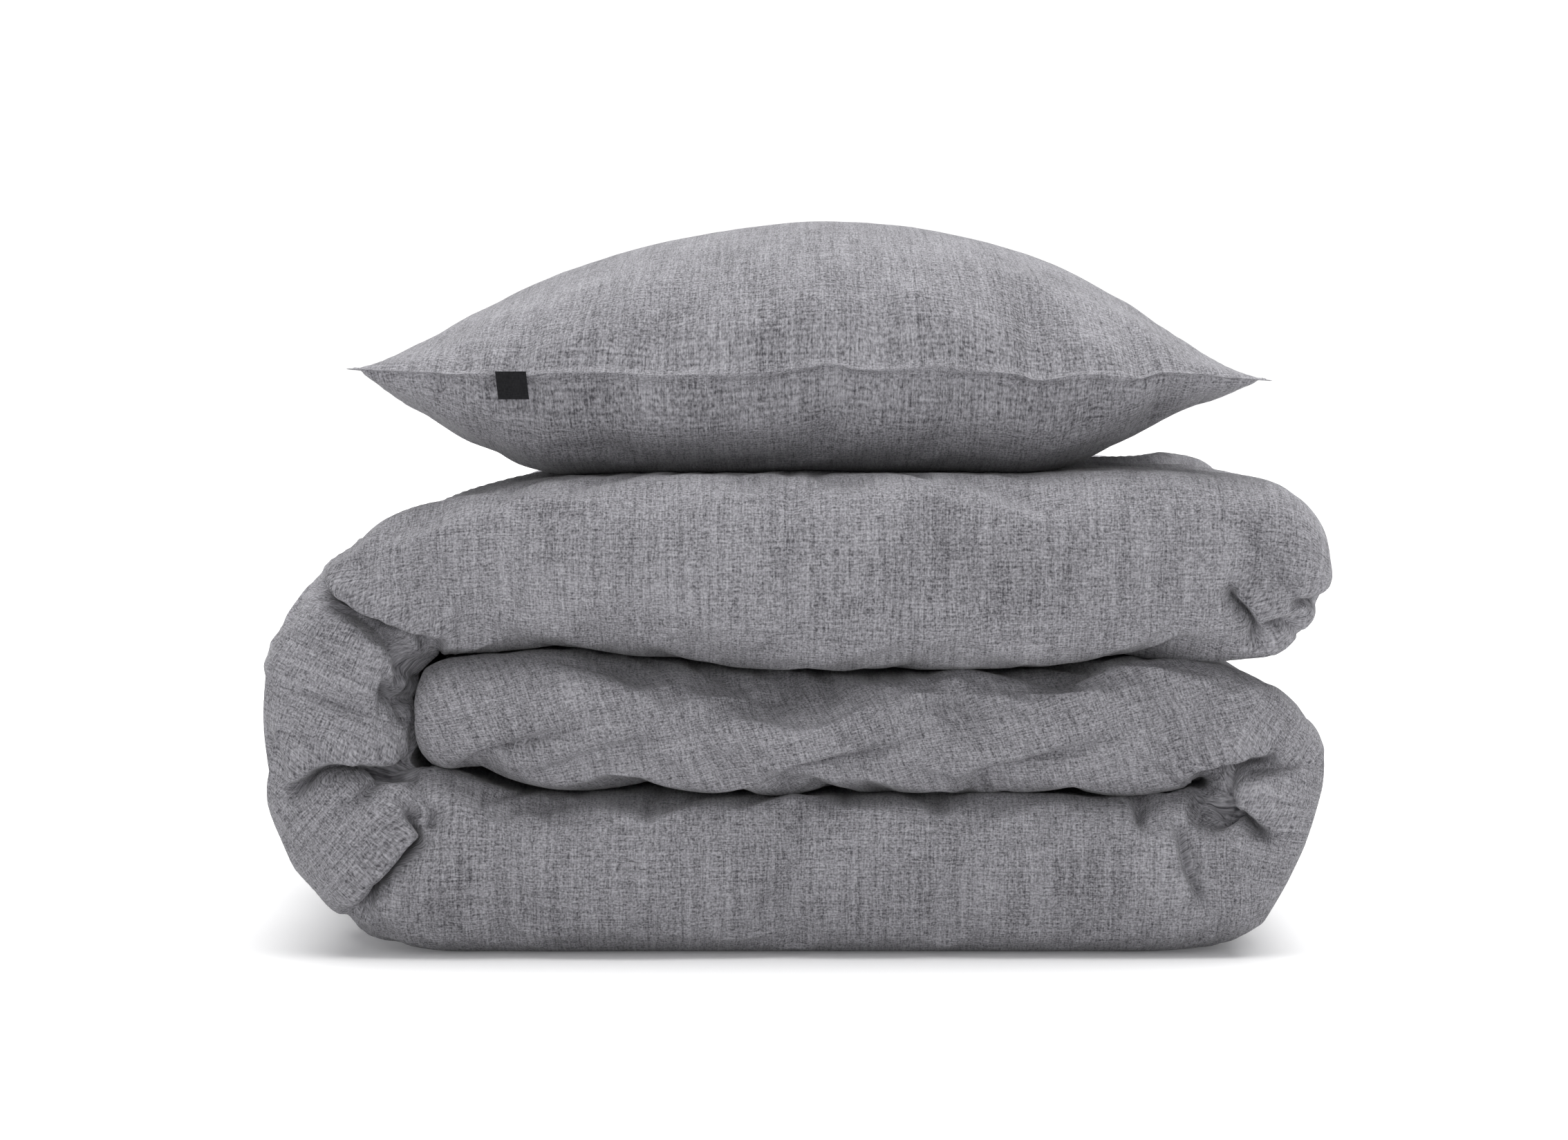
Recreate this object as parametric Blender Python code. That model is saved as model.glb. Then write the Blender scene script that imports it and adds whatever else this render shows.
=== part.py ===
"""A filled single duvet in its button-up cover, folded for display, with its pillow lying on top.

The duvet is folded in half from front to back, so that each layer is two plies with a round fold
at the front, and then in thirds like a letter: the bottom layer turns up at the right into the
middle layer, and turns up round the left end into the top layer. Metres, +Z up, the front at -Y.
The origin is on the floor, in the middle of the folded duvet.
"""

import math

import bmesh
import bpy
from mathutils import Vector

# Duvet
FOLDED_WIDTH = 0.764  # across the front, from the left turn to the right turn
FOLDED_DEPTH = 0.690  # from the round front fold to the side seams at the back
PLY = 0.0565  # one filled thickness of duvet, its cover included
PLY_GAP = 0.0016  # air inside the half fold, between the two plies
LAYER_GAP = 0.0010  # air between two layers of the folded stack
SEAM_GAP = 0.0006  # between the outer and the inner panel of a case, where they are sewn
SEAM_ANGLE = math.radians(20)  # half of the flat along each side seam
END_ANGLE = math.radians(60)  # how far the rounding of the head and foot ends goes before it is flat

# Cloth, and the room that one skin leaves for the next
CLOTH = 0.0008
CLOTH_GAP = 0.0008
REST_GAP = 0.0003  # between pieces that lie on each other

# Button closure at the foot end
BUTTON_RADIUS = 0.0060
BUTTON_THICKNESS = 0.0026
BUTTON_RECESS = 0.0008
BUTTON_ROUNDING = 0.0005
BUTTON_RIM = 0.0012
BUTTONS_PER_PLY = 3
BUTTON_PITCH = 0.200
FIRST_BUTTON = 0.110  # from the front fold to the nearest button
HEM_WIDTH = 0.020

# Pillow
PILLOW_LENGTH = 0.668  # corner to corner along the front, filled
PILLOW_DEPTH = 0.575
PILLOW_X = 0.011
PILLOW_Y = -0.020
CROWN = 0.114  # from the seam up to the top
BELLY = 0.070  # from the seam down to the flat that rests on the duvet
FLANGE = 0.010  # flat sewn rim round the pillowcase
SIDE_PULL = 0.040  # how far filling draws each side in between its corners, as a share
FLAP_LENGTH = 0.200  # tuck-in flap inside the right end of the pillowcase
FLAP_PLAN = 0.965  # size of each skin in plan, as a share of the pillowcase
TICKING_PLAN = 0.93
FILLING_PLAN = 0.90
SKIN_ROOM = 0.0015  # from one skin to the next, over the flat that the pillow rests on
FILLING_ROOM = 0.0004

# Label sewn into the front seam of the pillowcase
LABEL_WIDTH = 0.022
LABEL_DROP = 0.020
LABEL_THICKNESS = 0.0010
LABEL_FROM_CORNER = 0.121
LABEL_CORNER_RADIUS = 0.0012

# Facets
TURN_STEPS = 8
FRONT_STEPS = 6
EDGE_STEPS = 2
END_STEPS = 2
PILLOW_STEPS = 10
BUTTON_SIDES = 12

# Worked out from the sizes above
LAYER = 2 * PLY + PLY_GAP
LEVEL = LAYER + LAYER_GAP
BOTTOM_Z = LAYER / 2
MIDDLE_Z = BOTTOM_Z + LEVEL
TOP_Z = BOTTOM_Z + 2 * LEVEL
STACK_TOP = TOP_Z + LAYER / 2
LEFT_TURN = Vector((-FOLDED_WIDTH / 2 + LEVEL + LAYER / 2, 0, MIDDLE_Z))
RIGHT_TURN = Vector((FOLDED_WIDTH / 2 - LEVEL / 2 - LAYER / 2, 0, (BOTTOM_Z + MIDDLE_Z) / 2))
HEAD_X = FOLDED_WIDTH / 2 - LAYER / 2
FOOT_X = LEFT_TURN.x
FRONT_Y = -FOLDED_DEPTH / 2
BACK_Y = FOLDED_DEPTH / 2
SKIN_STEP = CLOTH + CLOTH_GAP
SEAM_Z = STACK_TOP + REST_GAP + BELLY
HALF_LENGTH = PILLOW_LENGTH / 2
HALF_DEPTH = PILLOW_DEPTH / 2
FLAT_DROP = BELLY - CLOTH - SEAM_GAP / 2  # from the seam's cloth down to the flat


def clear_scene():
    for obj in list(bpy.data.objects):
        bpy.data.objects.remove(obj)


def material(name, colour, roughness):
    made = bpy.data.materials.new(name)
    made.use_nodes = True
    shader = made.node_tree.nodes["Principled BSDF"]
    shader.inputs["Base Color"].default_value = (*colour, 1)
    shader.inputs["Roughness"].default_value = roughness
    shader.inputs["Metallic"].default_value = 0
    made.diffuse_color = (*colour, 1)
    return made


def add_object(name, bm, finish):
    mesh = bpy.data.meshes.new(name)
    bm.to_mesh(mesh)
    bm.free()
    mesh.materials.append(finish)
    mesh.shade_smooth()
    mesh.set_sharp_from_angle(angle=math.radians(40))
    obj = bpy.data.objects.new(name, mesh)
    bpy.context.scene.collection.objects.link(obj)
    return obj


def add_solid(name, bm, finish):
    """A closed body, with its faces turned outwards."""
    bmesh.ops.recalc_face_normals(bm, faces=bm.faces)
    if bm.calc_volume(signed=True) < 0:
        bmesh.ops.reverse_faces(bm, faces=bm.faces)
    return add_object(name, bm, finish)


def add_cloth(name, bm, finish, facing):
    """A skin of cloth, thickened behind its faces. facing is where its lowest face looks."""
    bmesh.ops.recalc_face_normals(bm, faces=bm.faces)
    lowest = min(bm.faces, key=lambda face: face.calc_center_median().z)
    if lowest.normal.dot(Vector(facing)) < 0:
        bmesh.ops.reverse_faces(bm, faces=bm.faces)
    obj = add_object(name, bm, finish)
    solidify = obj.modifiers.new("cloth", "SOLIDIFY")
    solidify.thickness = CLOTH
    solidify.offset = -1
    return obj


# The folded duvet: one section, carried along the path of the letter fold


def turn_stations(centre, radius, start):
    """Half a turn anticlockwise, seen from the front, as (x, z, heading, share of thickness)."""
    stations = []
    for i in range(TURN_STEPS + 1):
        angle = start + math.pi * i / TURN_STEPS
        x = centre.x + radius * math.cos(angle)
        z = centre.z + radius * math.sin(angle)
        stations.append((x, z, angle + math.pi / 2, 1.0))
    return stations


def end_stations(x, z, side, inset):
    """The rounding of one end, from its flat to the full thickness. side is 1 at the right."""
    stations = []
    for i in range(END_STEPS + 1):
        angle = END_ANGLE * (1 - i / END_STEPS)
        reach = (LAYER / 2 - inset) * math.sin(angle)
        stations.append((x + side * reach, z, math.pi, math.cos(angle)))
    return stations


def fold_path(inset, trim=0.0):
    """Every station from the head end, top right, to the foot end inside the left turn."""
    head = end_stations(HEAD_X, TOP_Z, 1, inset)
    foot = end_stations(FOOT_X, MIDDLE_Z, -1, inset)[::-1]
    x, z, heading, share = head[0]
    head[0] = (x - trim, z, heading, share)
    x, z, heading, share = foot[-1]
    foot[-1] = (x + trim, z, heading, share)
    left = turn_stations(LEFT_TURN, LEVEL, math.pi / 2)
    right = turn_stations(RIGHT_TURN, LEVEL / 2, 3 * math.pi / 2)
    return head + left + right + foot


def arc(centre_y, centre_n, radius_y, radius_n, start, end, steps):
    points = []
    for i in range(steps + 1):
        angle = start + (end - start) * i / steps
        points.append((centre_y + radius_y * math.cos(angle), centre_n + radius_n * math.sin(angle)))
    return points


def section_lines(inset, share, seam_gap):
    """The hairpin section as its outer line and its line inside the half fold, as (y, across) points.

    Both run from the side seam of the outer ply, round the front fold, to that of the inner ply.
    """
    outer = (LAYER / 2 - inset) * share
    inner = PLY_GAP / 2 * share + inset
    middle = (outer + inner) / 2
    edge = PLY / 2 - inset
    half = (outer - inner) / 2
    edge_y = BACK_Y - PLY / 2 * math.cos(SEAM_ANGLE)
    fold_y = FRONT_Y + LAYER / 2
    seam_y = edge_y + edge * math.cos(SEAM_ANGLE)
    quarter = math.pi / 2
    outside = [(seam_y, middle + seam_gap)]
    outside += arc(edge_y, middle, edge, half, SEAM_ANGLE, quarter, EDGE_STEPS)
    outside += arc(fold_y, 0, LAYER / 2 - inset, outer, quarter, 3 * quarter, FRONT_STEPS)
    outside += arc(edge_y, -middle, edge, half, -quarter, -SEAM_ANGLE, EDGE_STEPS)
    outside += [(seam_y, -middle - seam_gap)]
    inside = [(seam_y, middle - seam_gap)]
    inside += arc(edge_y, middle, edge, half, -SEAM_ANGLE, -quarter, EDGE_STEPS)
    inside += arc(fold_y, 0, PLY_GAP / 2 + inset, inner, quarter, 3 * quarter, FRONT_STEPS)
    inside += arc(edge_y, -middle, edge, half, quarter, SEAM_ANGLE, EDGE_STEPS)
    inside += [(seam_y, -middle + seam_gap)]
    return outside, inside


def place(station, point):
    """Where a point of the section lies at a station of the path."""
    x, z, heading, _ = station
    y, across = point
    return Vector((x + across * math.sin(heading), y, z - across * math.cos(heading)))


def swept(bm, stations, lines):
    """A grid of faces through the same line at every station. Returns its rows of vertices."""
    rows = [
        [bm.verts.new(place(station, point)) for point in line]
        for station, line in zip(stations, lines)
    ]
    for row, after in zip(rows, rows[1:]):
        ladder(bm, row, after)
    return rows


def ladder(bm, row, after):
    for a, b, c, d in zip(row, row[1:], after[1:], after):
        bm.faces.new((a, b, c, d))


def outer_skin(inset):
    """The panel that shows: round the outside of both plies and, clear of the seams, over the ends."""
    bm = bmesh.new()
    stations = fold_path(inset)
    gap = SEAM_GAP / 2
    lines = [section_lines(inset, station[3], gap) for station in stations]
    rows = swept(bm, stations, [outside for outside, _ in lines])
    for end in (0, -1):
        inside = [bm.verts.new(place(stations[end], point)) for point in lines[end][1][2:-2]]
        ladder(bm, rows[end][2:-2], inside)
    return bm


def inner_skin(inset):
    """The panel inside the half fold, which stops short of the cloth over the two ends."""
    bm = bmesh.new()
    stations = fold_path(inset, trim=2 * SKIN_STEP)
    lines = [section_lines(inset, station[3], SEAM_GAP / 2)[1] for station in stations]
    swept(bm, stations, lines)
    return bm


def whole_body(inset):
    """The closed body inside the skins, flat along the side seams."""
    bm = bmesh.new()
    stations = fold_path(inset)
    lines = [section_lines(inset, station[3], 0) for station in stations]
    outside = swept(bm, stations, [line[1:-1] for line, _ in lines])
    inside = swept(bm, stations, [line[1:-1] for _, line in lines])
    for edge in (0, -1):
        ladder(bm, [row[edge] for row in outside], [row[edge] for row in inside])
    for end in (0, -1):
        ladder(bm, outside[end], inside[end])
    return bm


def button_hem():
    """The hem of the opening, a flat U of cloth over the foot end, which the buttons are sewn to."""
    bm = bmesh.new()
    x, z, heading, share = fold_path(0)[-1]
    station = (x - REST_GAP - CLOTH, z, heading, share)
    outside, inside = section_lines(0, share, SEAM_GAP / 2)
    rows = []
    clear_of_seams = slice(EDGE_STEPS + 1, -EDGE_STEPS - 1)
    for side in (-1, 1):
        rows.append([])
        for near, far in zip(outside[clear_of_seams], inside[clear_of_seams]):
            middle = (Vector(near) + Vector(far)) / 2
            across = (Vector(near) - Vector(far)).normalized()
            point = middle + across * side * HEM_WIDTH / 2
            rows[-1].append(bm.verts.new(place(station, point)))
    ladder(bm, *rows)
    return bm


def build_duvet(cover_cloth, ticking, wadding, button_finish):
    add_cloth("cover_outer_panel", outer_skin(0), cover_cloth, (0, 0, -1))
    add_cloth("cover_inner_panel", inner_skin(0), cover_cloth, (0, 0, 1))
    add_cloth("insert_outer_ticking", outer_skin(SKIN_STEP), ticking, (0, 0, -1))
    add_cloth("insert_inner_ticking", inner_skin(SKIN_STEP), ticking, (0, 0, 1))
    add_solid("insert_filling", whole_body(2 * SKIN_STEP), wadding)
    add_cloth("cover_button_hem", button_hem(), cover_cloth, (-1, 0, 0))
    build_buttons(button_finish)


def build_buttons(finish):
    """Turned buttons with a raised rim, in a row along the foot end of each ply."""
    foot_x, foot_z, _, share = fold_path(0)[-1]
    x = foot_x - REST_GAP - CLOTH - REST_GAP
    across = (LAYER / 2 + PLY_GAP / 2) / 2 * share
    fold_y = FRONT_Y + LAYER / 2
    for ply, side in (("outer", 1), ("inner", -1)):
        for i in range(BUTTONS_PER_PLY):
            y = fold_y + FIRST_BUTTON + i * BUTTON_PITCH
            button = turned_button(f"cover_button_{ply}_{i + 1}", finish)
            button.location = (x, y, foot_z + side * across)


def turned_button(name, finish):
    """A disc with its back at x = 0 and its dished front facing -X."""
    edge = BUTTON_RADIUS - BUTTON_ROUNDING
    dish = BUTTON_RECESS - BUTTON_THICKNESS
    profile = [
        (0, 0),
        (0, edge),
        (-BUTTON_THICKNESS / 2, BUTTON_RADIUS),
        (-BUTTON_THICKNESS, edge),
        (dish, edge - BUTTON_RIM),
        (dish, 0),
    ]
    bm = bmesh.new()
    verts = [bm.verts.new((x, radius, 0)) for x, radius in profile]
    edges = [bm.edges.new(pair) for pair in zip(verts, verts[1:])]
    bmesh.ops.spin(
        bm, geom=verts + edges, axis=(1, 0, 0), cent=(0, 0, 0), angle=math.tau, steps=BUTTON_SIDES
    )
    bmesh.ops.remove_doubles(bm, verts=bm.verts, dist=1e-6)
    return add_solid(name, bm, finish)


# The pillow: domes over a plan whose sides pull in between the corners


def pillow_steps(half, rim):
    """Places across the pillow, closer together near the edges, with one more each side for a rim."""
    body = half - FLANGE
    inner = [-body * math.cos(math.pi * i / PILLOW_STEPS) for i in range(PILLOW_STEPS + 1)]
    return [-half, *inner, half] if rim else inner


def bulge(x, y, up):
    """Height of a filled face over its own side of the seam plane."""
    u, v = x / (HALF_LENGTH - FLANGE), y / (HALF_DEPTH - FLANGE)
    if abs(u) >= 1 or abs(v) >= 1:
        return 0.0
    if up:
        return (CROWN - CLOTH - SEAM_GAP / 2) * (1 - u * u) ** 1.10 * (1 - v * v) ** 0.62
    return min(FLAT_DROP * 1.55 * (1 - u * u) ** 0.80 * (1 - v * v) ** 0.55, FLAT_DROP)


def pillow_face(plan, room, rim, up, offset, start_x=-math.inf):
    """One face of the pillow as a grid, offset from the seam plane.

    plan and room draw it in from the pillowcase, and start_x leaves out what lies left of it.
    """
    bm = bmesh.new()
    rise = 1 - room / FLAT_DROP
    rows = []
    for x in pillow_steps(HALF_LENGTH, rim):
        if x < start_x:
            continue
        row = []
        for y in pillow_steps(HALF_DEPTH, rim):
            height = bulge(x, y, up) * rise + offset
            pulled_x = x * (1 - SIDE_PULL * (1 - (y / HALF_DEPTH) ** 2)) * plan
            pulled_y = y * (1 - SIDE_PULL * (1 - (x / HALF_LENGTH) ** 2)) * plan
            z = SEAM_Z + (height if up else -height)
            row.append(bm.verts.new((PILLOW_X + pulled_x, PILLOW_Y + pulled_y, z)))
        rows.append(row)
    for row, after in zip(rows, rows[1:]):
        ladder(bm, row, after)
    return bm


def pillow_skin(name, finish, plan, room, rim, up, start_x=-math.inf):
    bm = pillow_face(plan, room, rim, up, SEAM_GAP / 2 + CLOTH, start_x)
    return add_cloth(name, bm, finish, (0, 0, 1 if up else -1))


def pillow_filling(finish):
    """The closed body of filling: an upper and a lower face sewn edge to edge."""
    room = 2 * SKIN_ROOM + FILLING_ROOM
    bm = pillow_face(FILLING_PLAN, room, False, True, 0)
    lower = pillow_face(FILLING_PLAN, room, False, False, 0)
    mesh = bpy.data.meshes.new("lower_half")
    lower.to_mesh(mesh)
    lower.free()
    bm.from_mesh(mesh)
    bpy.data.meshes.remove(mesh)
    bmesh.ops.remove_doubles(bm, verts=bm.verts, dist=1e-6)
    return add_solid("pillow_filling", bm, finish)


def build_pillow(case_cloth, ticking, wadding):
    pillow_skin("pillowcase_upper_panel", case_cloth, 1, 0, True, True)
    pillow_skin("pillowcase_lower_panel", case_cloth, 1, 0, True, False)
    flap_start = HALF_LENGTH - FLAP_LENGTH
    pillow_skin("pillowcase_tuck_flap", case_cloth, FLAP_PLAN, SKIN_ROOM, False, False, flap_start)
    pillow_skin("pillow_upper_ticking", ticking, TICKING_PLAN, 2 * SKIN_ROOM, False, True)
    pillow_skin("pillow_lower_ticking", ticking, TICKING_PLAN, 2 * SKIN_ROOM, False, False)
    pillow_filling(wadding)


def front_rim(x):
    """How far the front rim of the pillowcase stands from the pillow's middle, at x along it."""
    steps = pillow_steps(HALF_LENGTH, True)
    reach = [HALF_DEPTH * (1 - SIDE_PULL * (1 - (step / HALF_LENGTH) ** 2)) for step in steps]
    for near, far, out, next_out in zip(steps, steps[1:], reach, reach[1:]):
        if near <= x <= far:
            return out + (next_out - out) * (x - near) / (far - near)
    return HALF_DEPTH


def build_label(finish):
    """A folded tape that hangs from the front seam and turns about the line it is sewn along."""
    x = LABEL_FROM_CORNER - HALF_LENGTH
    reach = max(front_rim(x - LABEL_WIDTH / 2), front_rim(x + LABEL_WIDTH / 2))
    y = PILLOW_Y - reach - REST_GAP - LABEL_THICKNESS / 2
    hinge = bpy.data.objects.new("label_hinge", None)
    bpy.context.scene.collection.objects.link(hinge)
    hinge.location = (PILLOW_X + x, y, SEAM_Z)
    bm = bmesh.new()
    bmesh.ops.create_cube(bm, size=1)
    bmesh.ops.scale(bm, vec=(LABEL_WIDTH, LABEL_THICKNESS, LABEL_DROP), verts=bm.verts)
    bmesh.ops.translate(bm, vec=(0, 0, -LABEL_DROP / 2), verts=bm.verts)
    upright = [
        edge
        for edge in bm.edges
        if abs(edge.verts[0].co.y - edge.verts[1].co.y) > LABEL_THICKNESS / 2
        and edge.verts[0].co.z < -LABEL_DROP / 2
    ]
    bmesh.ops.bevel(
        bm, geom=upright, offset=LABEL_CORNER_RADIUS, segments=2, affect="EDGES", profile=0.5
    )
    label = add_solid("pillow_label", bm, finish)
    label.parent = hinge


def main():
    clear_scene()
    melange = material("grey_melange_cotton", (0.27, 0.27, 0.285), 0.9)
    ticking = material("white_cotton_ticking", (0.86, 0.86, 0.84), 0.85)
    wadding = material("white_wadding", (0.92, 0.92, 0.91), 0.95)
    horn = material("grey_button_resin", (0.20, 0.20, 0.215), 0.35)
    tape = material("black_label_tape", (0.012, 0.012, 0.014), 0.6)
    build_duvet(melange, ticking, wadding, horn)
    build_pillow(melange, ticking, wadding)
    build_label(tape)


main()
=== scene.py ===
# %% [markdown]
# # A folded duvet and its pillow
#
# This lesson dresses a plain model of a folded duvet and a pillow, both in the same grey melange
# cotton. The plain model is the frame: it says where each part is and how it moves. Here the soft
# parts get their real look, by cloth simulation, by creases laid in along listed lines, and by a
# woven material. Everything is in metres, with Z up and the front at -Y.

import math

import bmesh
import bpy
import numpy as np
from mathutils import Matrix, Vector
from mathutils.bvhtree import BVHTree


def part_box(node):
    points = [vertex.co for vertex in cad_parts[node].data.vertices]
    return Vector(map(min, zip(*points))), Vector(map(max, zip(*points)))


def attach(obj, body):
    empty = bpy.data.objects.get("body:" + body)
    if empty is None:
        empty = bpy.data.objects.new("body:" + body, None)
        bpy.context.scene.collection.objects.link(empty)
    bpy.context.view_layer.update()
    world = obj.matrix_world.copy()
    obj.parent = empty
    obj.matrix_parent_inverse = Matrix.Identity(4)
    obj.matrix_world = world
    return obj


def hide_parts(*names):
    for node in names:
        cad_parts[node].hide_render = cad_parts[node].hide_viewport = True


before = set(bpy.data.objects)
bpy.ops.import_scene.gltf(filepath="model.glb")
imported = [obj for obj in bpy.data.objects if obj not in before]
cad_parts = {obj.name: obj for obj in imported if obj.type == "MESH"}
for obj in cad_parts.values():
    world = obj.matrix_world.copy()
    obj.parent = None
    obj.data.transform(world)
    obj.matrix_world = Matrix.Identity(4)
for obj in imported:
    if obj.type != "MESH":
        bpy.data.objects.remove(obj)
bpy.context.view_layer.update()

# %% [markdown]
# ## Camera
#
# A stack of bedding is photographed from a good way off with a long lens, almost level, so that
# its sides stay upright. The camera looks slightly down at the plane in which the front rolls of
# the duvet are fullest. One measure sets the framing: how much of that plane fits across the image.

# %% Camera
FULLEST_Y = -0.28
FRAME_WIDTH = 1.128
FRAME_MIDDLE = Vector((-0.007, FULLEST_Y, 0.2734))
LENS = 100
SENSOR = 36
LOOK_DOWN = math.radians(2.5)

distance = FRAME_WIDTH * LENS / SENSOR
camera_data = bpy.data.cameras.new("front_camera")
camera_data.lens = LENS
camera_data.sensor_width = SENSOR
camera_data.clip_end = 200
camera = bpy.data.objects.new("front_camera", camera_data)
bpy.context.scene.collection.objects.link(camera)
camera.rotation_euler = (math.pi / 2 - LOOK_DOWN, 0, 0)
away = Vector((0, -math.cos(LOOK_DOWN), math.sin(LOOK_DOWN)))
camera.location = FRAME_MIDDLE + away * distance
bpy.context.scene.camera = camera
print("camera stands", round(distance, 2), "m from the front rolls")

# %% [markdown]
# ## Helpers
#
# Cloth is easiest to shape as arrays of points, so these small functions go back and forth between
# a mesh and numpy, and smooth a line that is given by only a few listed points.


# %% Helpers
def points_of(mesh):
    """The mesh's vertices as an array with a row for each."""
    flat = np.empty(len(mesh.vertices) * 3)
    mesh.vertices.foreach_get("co", flat)
    return flat.reshape(-1, 3)


def move_points(mesh, points):
    mesh.vertices.foreach_set("co", np.ascontiguousarray(points, dtype=np.float32).ravel())
    mesh.update()


def corners_of(mesh):
    """Which vertex each corner of the faces is at."""
    corner = np.empty(len(mesh.loops), dtype=np.int64)
    mesh.loops.foreach_get("vertex_index", corner)
    return corner


def write_uvs(layer, uv):
    layer.data.foreach_set("uv", uv.astype(np.float32).ravel())


def keep_values(mesh, name, values):
    """Keeps a number or a vector for each vertex, and new vertices get theirs from these."""
    flat = values.ndim == 1
    kept = mesh.attributes.new(name, "FLOAT" if flat else "FLOAT_VECTOR", "POINT")
    kept.data.foreach_set("value" if flat else "vector", values.astype(np.float32).ravel())


def kept_values(mesh, name, size):
    values = np.empty(len(mesh.vertices) * size, dtype=np.float32)
    mesh.attributes[name].data.foreach_get("value" if size == 1 else "vector", values)
    return (values.reshape(-1, size) if size > 1 else values).astype(float)


def normals_of(mesh):
    flat = np.empty(len(mesh.vertices) * 3, dtype=np.float32)
    mesh.vertex_normals.foreach_get("vector", flat)
    return flat.reshape(-1, 3).astype(float)


def select_only(obj):
    for other in bpy.context.selected_objects:
        other.select_set(False)
    obj.select_set(True)
    bpy.context.view_layer.objects.active = obj


def through(controls, steps):
    """A smooth line through the control rows, with a number of steps from each to the next."""
    controls = np.array(controls, dtype=float)
    padded = np.vstack([2 * controls[0] - controls[1], controls, 2 * controls[-1] - controls[-2]])
    t = np.arange(steps)[:, None] / steps
    pieces = []
    for a, b, c, d in zip(padded, padded[1:], padded[2:], padded[3:]):
        bend = 2 * a - 5 * b + 4 * c - d
        twist = 3 * b - a - 3 * c + d
        pieces.append(b + 0.5 * ((c - a) * t + bend * t**2 + twist * t**3))
    return np.vstack([*pieces, controls[-1:]])


def lengths_along(points):
    """How far along a line each of its points lies."""
    return np.concatenate([[0], np.cumsum(np.linalg.norm(np.diff(points, axis=0), axis=1))])


def evenly(rows, along, spacing):
    """The rows again, at even steps of the distance that along gives."""
    count = max(2, int(round(along[-1] / spacing)))
    wanted = np.linspace(0, along[-1], count + 1)
    return np.column_stack([np.interp(wanted, along, column) for column in rows.T])


def soft_step(value, low, high):
    """0 below low, 1 above high, and a smooth rise between."""
    share = np.clip((value - low) / (high - low), 0, 1)
    return share * share * (3 - 2 * share)


# %% [markdown]
# ## Folds laid in along given lines
#
# A cover that is longer than its filling folds over itself wherever the duvet turns. Each such fold
# is laid in along a line of a few points. The cloth sinks into a valley on the line, swells beside
# it, and on one side slides a little over the valley, which is what makes a real fold look crisp.
# The lines are given as the camera sees them, so points are first carried along the line of sight
# to the plane of the fullest rolls.


# %% Fold helper
def as_seen(points):
    """Points carried along the camera's line of sight to the plane of the front rolls."""
    eye = np.array(camera.location)
    ray = points - eye
    share = (FULLEST_Y - eye[1]) / ray[:, 1]
    return eye[[0, 2]] + ray[:, [0, 2]] * share[:, None]


def near_line(flat, line):
    """Distance to a line, which side (positive is left of its direction), and share along it."""
    marks = lengths_along(line)
    best = np.full(len(flat), 1e9)
    side = np.zeros(len(flat))
    share = np.zeros(len(flat))
    for i, (a, b) in enumerate(zip(line, line[1:])):
        way = b - a
        size = np.linalg.norm(way)
        t = np.clip((flat - a) @ way / size**2, 0, 1)
        gap = flat - (a + t[:, None] * way)
        far = np.linalg.norm(gap, axis=1)
        closer = far < best
        best[closer] = far[closer]
        side[closer] = np.sign(way[0] * gap[closer, 1] - way[1] * gap[closer, 0])
        share[closer] = (marks[i] + t[closer] * size) / marks[-1]
    return best, side, share


LIP_REACH = 0.008


def lay_fold(points, base, normals, where, fold, width, depth, over, under):
    """Moves the points by one fold. base and normals are those of the smooth shape before any fold,
    so that folds can be laid in twice, once coarsely and once crisply, on the same line."""
    line, strength, ends = fold
    line = through(line, 6)
    far, side, share = near_line(as_seen(base), line)
    fade = soft_step(share, 0, ends[0]) * (1 - soft_step(share, 1 - ends[1], 1)) * where * strength
    fade = fade * soft_step(-normals[:, 1], -0.1, 0.35)
    signed = far * side
    way = np.gradient(line, axis=0)
    way /= np.linalg.norm(way, axis=1, keepdims=True)
    marks = lengths_along(line) / lengths_along(line)[-1]
    left_x = -np.interp(share, marks, way[:, 1])
    left_z = np.interp(share, marks, way[:, 0])
    left = np.column_stack([left_x, np.zeros(len(points)), left_z])
    left -= normals * np.sum(left * normals, axis=1, keepdims=True)
    valley = np.exp(-((far / width) ** 2))
    trough = np.exp(-((far / (3 * width)) ** 2)) * (signed < 0) * (1 - valley)
    lip = np.exp(-(((signed - 1.3 * LIP_REACH) / (0.9 * LIP_REACH)) ** 2))
    push = -depth * valley - under * trough + 0.25 * over * lip
    return points + normals * (push * fade)[:, None] - left * (over * lip * fade)[:, None]


# %% [markdown]
# ## The duvet's shape
#
# Seen from the front, the duvet is one thick strip folded like a letter. Its top layer starts with
# the free end at the right, runs left, turns down round the left end, comes back as the bottom
# layer, turns up at the right, and ends as the middle layer, tucked into the left turn. The strip
# is given by pairs of points: one on the outer side of the fold, one on the inner side. Only a few
# pairs are needed, closer together where the strip bends, because a smooth line runs through them.

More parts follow.
